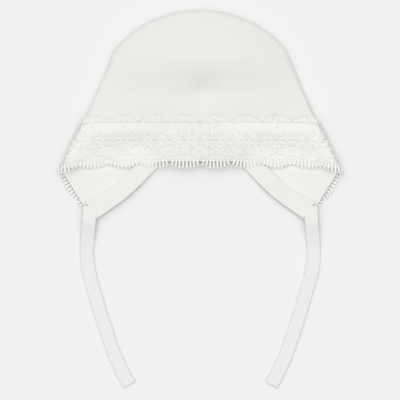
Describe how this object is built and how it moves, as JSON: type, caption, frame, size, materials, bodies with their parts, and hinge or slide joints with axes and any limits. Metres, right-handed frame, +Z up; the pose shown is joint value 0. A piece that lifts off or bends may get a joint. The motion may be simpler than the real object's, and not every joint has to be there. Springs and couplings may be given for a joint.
{
  "type": "baby bonnet",
  "caption": "Knitted baby bonnet lying flat on its back, with a scalloped lace band round the face opening, a turned-in neck hem and two flat ties.",
  "frame": {"origin": "on the table, under the middle of the hood's own box, without the ties", "axes": "+X to the wearer's side shown on the right, +Y from the face opening to the crown's top fold, +Z up from the table through the flattened hood"},
  "size_m": [0.2448, 0.3209, 0.0212],
  "materials": {
    "knit": "fine knitted cotton, matte, off-white",
    "lace": "cotton galloon lace, matte, off-white",
    "hem": "fine knitted cotton, matte, off-white",
    "tie": "flat knitted cotton tie, matte, off-white"
  },
  "bodies": {
    "root": {"crown": "knit", "lace_band": "lace", "neck_band": "hem", "tie_left": "tie", "tie_right": "tie"}
  },
  "joints": []
}
